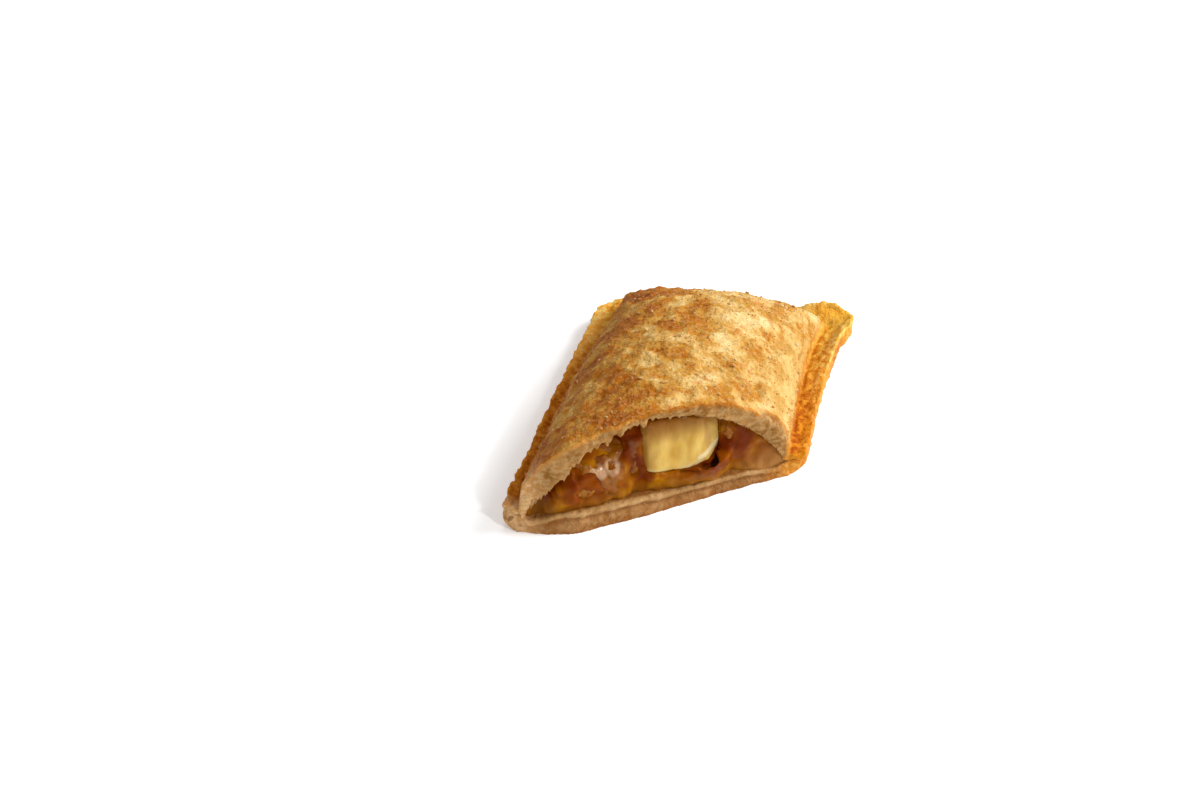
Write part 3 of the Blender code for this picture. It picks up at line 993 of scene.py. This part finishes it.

# %% [markdown]
# ## The base's own colours
#
# The bottom sheet is tan inside, darker where it lay on the hot tray and where juice soaked in, and
# toasted in uneven patches all round its rim. At the cut its upper edge is painted as a pale ridge over a
# thin brown line.

# %% Bottom crust, painted
base_finish = new_finish(
    "base_pastry", Roughness=0.6, Specular_IOR_Level=0.2, Subsurface_Weight=0.1, Subsurface_Scale=0.5 * MM
)
base_patches = spread(base_finish, grain(base_finish, 2.2 * MM, detail=3.0, shift=1.0), 0.4, 0.62)
base_specks = spread(base_finish, grain(base_finish, 0.6 * MM, detail=2.0, shift=4.0), 0.42, 0.62)
base_colour = mixed(base_finish, base_patches, tone(176, 112, 46), tone(204, 146, 76))
inside = mixed(base_finish, base_patches, tone(154, 102, 50), tone(184, 134, 82))
baked_low = spread(base_finish, place_along(base_finish, "Z"), 0.2 * MM, 1.6 * MM, 1.0, 0.0)
inside = over(base_finish, inside, baked_low, 0.7, tone(150, 88, 34))
inside = over(base_finish, inside, base_specks, 0.25, tone(208, 160, 104))
base_colour = mixed(base_finish, zone_share(base_finish, "cut"), base_colour, inside)
soaked_colour = mixed(base_finish, base_patches, tone(156, 98, 42), tone(184, 128, 70))
base_colour = mixed(base_finish, zone_share(base_finish, "soaked"), base_colour, soaked_colour)
ridge_colour = mixed(base_finish, base_patches, tone(188, 144, 90), tone(208, 166, 112))
base_colour = over_zone(base_finish, base_colour, "ridge", 0.85, ridge_colour)
base_colour = over_zone(base_finish, base_colour, "line", 0.5, tone(140, 84, 34))
rim_base = mixed(base_finish, base_specks, tone(218, 138, 44), tone(238, 168, 70))
toasted = spread(base_finish, grain(base_finish, 3.4 * MM, detail=4.0, shift=11.0), 0.42, 0.62)
rim_base = over(base_finish, rim_base, toasted, 0.6, tone(184, 108, 30))
orange_edge = times(base_finish, zone_share(base_finish, "orange"), zone_share(base_finish, "cut"))
base_colour = mixed(base_finish, orange_edge, base_colour, rim_base)
base_colour = mixed(base_finish, zone_share(base_finish, "browned"), base_colour, rim_base)
tip_base = mixed(base_finish, base_specks, tone(208, 154, 96), tone(230, 184, 130))
base_colour = over_zone(base_finish, base_colour, "tip", 0.85, tip_base)
base_colour = over_zone(base_finish, base_colour, "corner", 0.8, tone(244, 176, 68))
paint(base_finish, colour=base_colour, height=base_specks, depth=0.12 * MM)
give(bottom_crust, base_finish)
print("base finish has", len(base_finish.node_tree.nodes), "nodes")

# %% [markdown]
# ## Wet fruit
#
# Gel and cooked apple let light in and have a wet skin. Subsurface scattering gives the depth, and a
# clear coat gives the sharp highlights, which is much quicker to render than real glass with something
# cloudy in it.

# %% Filling and chunks, painted
gel_finish = new_finish(
    "amber_gel",
    Roughness=0.5,
    Specular_IOR_Level=0.0,
    Subsurface_Weight=0.4,
    Subsurface_Scale=0.9 * MM,
    Subsurface_Radius=(1.0, 0.45, 0.1),
    Coat_Weight=1.0,
    Coat_IOR=1.14,
    Coat_Roughness=0.06,
)
gel_cloud = spread(gel_finish, grain(gel_finish, 3.6 * MM, detail=2.0), 0.36, 0.64)
gel_depth = spread(gel_finish, grain(gel_finish, 2.0 * MM, detail=1.0, shift=6.0), 0.38, 0.66)
gel_colour = scale_of(
    gel_finish,
    plus(gel_finish, times(gel_finish, gel_cloud, 0.6), times(gel_finish, gel_depth, 0.4)),
    (0.05, wet_tone(122, 62, 0)),
    (0.5, wet_tone(146, 82, 0)),
    (0.8, wet_tone(164, 100, 14)),
    (1.0, wet_tone(184, 122, 40)),
)
# painted shade in the hollow under the torn lip
gel_colour = over_zone(gel_finish, gel_colour, "hollow", 0.7, wet_tone(100, 46, 0))
# paler foot: partly thin gel over the pale crust, partly painted light lifting the shade under the big
# chunk
gel_colour = over_zone(gel_finish, gel_colour, "foot", 0.75, wet_tone(176, 120, 58))
gel_colour = over_zone(gel_finish, gel_colour, "smear", 0.7, wet_tone(196, 142, 90))
ripples = grain(gel_finish, 0.8 * MM, detail=1.0, shift=9.0)
paint(gel_finish, colour=gel_colour, height=plus(gel_finish, gel_depth, ripples), depth=0.18 * MM)
give(filling, gel_finish)


def apple_finish(name, light, dark, top, wetness, top_from, top_to, wrinkled):
    """Cooked apple flesh: upright fibres, soft blotches, and a top browned by gel and painted shade."""
    finish = new_finish(
        name,
        Roughness=0.5,
        Specular_IOR_Level=0.05,
        Subsurface_Weight=0.7,
        Subsurface_Scale=1.6 * MM,
        Subsurface_Radius=(1.0, 0.55, 0.15),
        Coat_Weight=wetness,
        Coat_IOR=1.25,
        Coat_Roughness=0.1,
    )
    fibres = spread(finish, grain(finish, 1.9 * MM, detail=1.5, stretch=(1.3, 1.3, 0.3)), 0.36, 0.66)
    blotches = spread(finish, grain(finish, 3.0 * MM, detail=1.0, shift=2.0), 0.38, 0.64)
    wrinkles = grain(finish, 0.9 * MM, detail=2.0, stretch=(1.3, 1.3, 0.5), shift=4.0)
    flesh = plus(finish, times(finish, fibres, 0.6), times(finish, blotches, 0.4))
    colour = mixed(finish, flesh, dark, light)
    # browner towards the top: partly soaked-in gel, partly painted shade under the crust's lip
    top_stain_and_shade = spread(finish, place_along(finish, "Z"), top_from * MM, top_to * MM)
    colour = mixed(finish, top_stain_and_shade, colour, top)
    colour = over_zone(finish, colour, "facet", 0.55, FACET)
    # the big chunk's left side and top: gel stain, with painted shade under the lip at the top
    colour = over_zone(finish, colour, "gel_stain_and_shade", 0.75, top)
    # painted highlight along the big chunk's facet edge, and its paler lower edge
    colour = over_zone(finish, colour, "pale", 0.9, HIGHLIGHT_AND_PALE_EDGE)
    # painted highlight: two pale gleams on the glazed chunk
    colour = over_zone(finish, colour, "gleam", 0.7, GLEAM)
    paint(finish, colour=colour, height=wrinkles, depth=wrinkled * MM)
    return finish


FACET = wet_tone(196, 158, 100)
HIGHLIGHT_AND_PALE_EDGE = wet_tone(244, 224, 176)
GLEAM = wet_tone(222, 184, 146)
pale_tones = (wet_tone(240, 204, 116), wet_tone(204, 158, 72), wet_tone(150, 96, 32))
glazed_tones = (wet_tone(176, 116, 44), wet_tone(140, 82, 18), wet_tone(120, 64, 4))
amber_tones = (wet_tone(156, 96, 22), wet_tone(130, 72, 8), wet_tone(116, 60, 0))
give(main_chunk, apple_finish("pale_apple", *pale_tones, 0.6, 18.0, 21.5, 0.12))
give(left_chunk, apple_finish("glazed_apple", *glazed_tones, 1.0, 14.0, 18.0, 0.5))
give(middle_chunk, apple_finish("amber_apple", *amber_tones, 0.9, 15.0, 19.0, 0.3))
pulp_tones = (wet_tone(196, 138, 86), wet_tone(162, 102, 46), wet_tone(150, 90, 34))
give(pale_bit, apple_finish("pale_pulp", *pulp_tones, 0.5, 17.0, 20.5, 0.2))
print("wet finishes:", sorted(finish.name for finish in bpy.data.materials))

# %% [markdown]
# ## Sugar on the crust
#
# Coarse sugar was baked onto the dome. One irregular grain is modelled and repeated over the crust at
# points that a seeded random draw picks, so each run gives the same pie. All grains are one mesh of small
# shapes.

# %% Scattered sugar
SUGAR_COUNT = 1600
FLAKE_COUNT = 110


def one_grain():
    """The points and faces of one small irregular crystal."""
    bpy.ops.object.select_all(action="DESELECT")
    bpy.ops.mesh.primitive_ico_sphere_add(subdivisions=1, radius=0.5)
    crystal = bpy.context.object
    points = [point.co.copy() for point in crystal.data.vertices]
    faces = [tuple(face.vertices) for face in crystal.data.polygons]
    bpy.data.objects.remove(crystal, do_unlink=True)
    return points, faces


def scatter(name, source, zone, count, sizes, seed):
    """Repeats the grain over a zone of a piece, each turned and sized by a seeded draw."""
    draw = random.Random(seed)
    shares = source.data.attributes[zone + "_share"].data
    places = [point for point in source.data.vertices if shares[point.index].value > 0.6]
    points, faces = one_grain()
    all_points, all_faces, tints = [], [], []
    for _ in range(count):
        at = draw.choice(places)
        size = draw.uniform(*sizes) * MM
        turn = Matrix.Rotation(draw.uniform(0.0, math.tau), 3, draw.choice(("X", "Y", "Z")))
        shape = Matrix.Diagonal((size, size * draw.uniform(0.5, 0.9), size * draw.uniform(0.4, 0.7)))
        tint = draw.random()
        first = len(all_points)
        all_points += [at.co + at.normal * size * 0.12 + turn @ (shape @ point) for point in points]
        all_faces += [tuple(first + index for index in face) for face in faces]
        tints += [tint] * len(points)
    mesh = bpy.data.meshes.new(name)
    mesh.from_pydata(all_points, [], all_faces)
    tint_share = mesh.attributes.new("tint_share", "FLOAT", "POINT")
    tint_share.data.foreach_set("value", tints)
    piece = bpy.data.objects.new(name, mesh)
    bpy.context.scene.collection.objects.link(piece)
    return piece


def grain_finish(name, dark, light, **sockets):
    """One finish for many grains, each in its own tint between two tones, darkened towards the left as
    painted shade.
    """
    finish = new_finish(name, Subsurface_Weight=0.3, Subsurface_Scale=0.3 * MM, **sockets)
    tint = spread(finish, zone_share(finish, "tint"), 0.2, 0.9)
    colour = mixed(finish, tint, dark, light)
    # painted shade: the grains darken towards the left, like the shaded left of the dome
    painted_shade_to_left = spread(finish, place_along(finish, "X"), -24.0 * MM, 16.0 * MM, 0.8, 0.0)
    paint(finish, colour=mixed(finish, painted_shade_to_left, colour, tone(182, 118, 50)))
    return finish


sugar = scatter("sugar_grains", top_crust, "dome", SUGAR_COUNT, (0.18, 0.5), 11)
sugar_tones = (tone(200, 142, 70), tone(236, 202, 140))
give(sugar, grain_finish("baked_sugar", *sugar_tones, Roughness=0.6, Specular_IOR_Level=0.1))
flakes_loose = scatter("crust_flakes", top_crust, "dome", FLAKE_COUNT, (0.5, 1.1), 5)
give(flakes_loose, grain_finish("pastry_flakes", tone(206, 146, 72), tone(240, 206, 146), Roughness=0.6))
for piece in (sugar, flakes_loose):
    print(piece.name, "triangles:", len(piece.data.polygons))

# %% [markdown]
# ## Riding on the frame
#
# Each piece moves with the one body of this object and stands for the solid that it was made from, which
# is hidden.

# %% Pieces and their solids
for piece, node, slot in (
    (top_crust, "top_crust", "baked_crust"),
    (bottom_crust, "bottom_crust", "base_crust"),
    (filling, "filling", "apple_filling"),
    (main_chunk, "apple_chunk_main", "cooked_apple"),
    (left_chunk, "apple_chunk_left", "glazed_apple"),
    (middle_chunk, "apple_chunk_middle", "glazed_apple"),
):
    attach(piece, "root")
    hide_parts(node)
for piece, slot in (
    (sugar, "baked_crust"),
    (flakes_loose, "baked_crust"),
    (pale_bit, "cooked_apple"),
):
    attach(piece, "root")

# %% [markdown]
# ## Table and light
#
# The pie lies on plain white under soft light from the right and a little behind, so the cut is in gentle
# shade and the side wall glows. The table shines faintly, like a light table, which keeps its shadow
# pale.

# %% Table and light
bpy.ops.object.select_all(action="DESELECT")
bpy.ops.mesh.primitive_plane_add(size=4.0, location=(0.0, 0.0, 0.0))
table = bpy.context.object
table.name = "white_table"
WHITE = (1.0, 1.0, 1.0, 1.0)
table_finish = new_finish("white_table", Roughness=0.9, Emission_Color=WHITE, Emission_Strength=0.2)
table_finish.node_tree.nodes["Principled BSDF"].inputs["Base Color"].default_value = (0.93, 0.93, 0.93, 1.0)
give(table, table_finish)

sky = bpy.data.worlds.new("soft_room")
sky.use_nodes = True
sky.node_tree.nodes["Background"].inputs["Color"].default_value = WHITE
sky.node_tree.nodes["Background"].inputs["Strength"].default_value = 0.42
bpy.context.scene.world = sky


def soft_sun(name, source, spread_angle, strength):
    """A far-off soft box: even light from one direction, with soft shadows."""
    lamp = bpy.data.lights.new(name, "SUN")
    lamp.angle = math.radians(spread_angle)
    lamp.energy = strength
    holder = bpy.data.objects.new(name, lamp)
    holder.rotation_mode = "QUATERNION"
    holder.rotation_quaternion = Vector(source).to_track_quat("Z", "Y")
    bpy.context.scene.collection.objects.link(holder)


soft_sun("key_light", (0.70, 0.40, 0.60), 32.0, 3.4)
soft_sun("top_light", (-0.1, 0.45, 0.9), 20.0, 0.5)
soft_sun("front_light", (0.66, -0.38, 0.64), 6.0, 1.0)
print("lights:", sorted(lamp.name for lamp in bpy.data.lights))

# %% [markdown]
# ## The photographer's place
#
# The camera was matched to the photograph: its height and turn came from the directions of the pie's long
# edges, and its distance and lens from the size of the cut. It stands still, so a fixed place and a level
# horizon will do.

# %% Camera
VIEW_TURN = 0.262898
VIEW_HEIGHT = math.radians(37.0)
VIEW_DISTANCE = 0.60
VIEW_TARGET = Vector((-15.96, -0.53, 10.0)) * MM + BUILT_AT

back = Vector(
    (
        math.sin(VIEW_TURN) * math.cos(VIEW_HEIGHT),
        -math.cos(VIEW_TURN) * math.cos(VIEW_HEIGHT),
        math.sin(VIEW_HEIGHT),
    )
)
right = Vector((math.cos(VIEW_TURN), math.sin(VIEW_TURN), 0.0))
camera = bpy.data.cameras.new("camera")
camera.lens = 88.2
camera.sensor_width = 36.0
camera.clip_start = 0.01
camera_holder = bpy.data.objects.new("camera", camera)
facing = Matrix((right, back.cross(right), back)).transposed()
camera_holder.matrix_world = Matrix.Translation(VIEW_TARGET + VIEW_DISTANCE * back) @ facing.to_4x4()
bpy.context.scene.collection.objects.link(camera_holder)
bpy.context.scene.camera = camera_holder
bpy.context.scene.view_settings.view_transform = "Standard"
print("camera at", [round(value, 3) for value in camera_holder.matrix_world.translation])
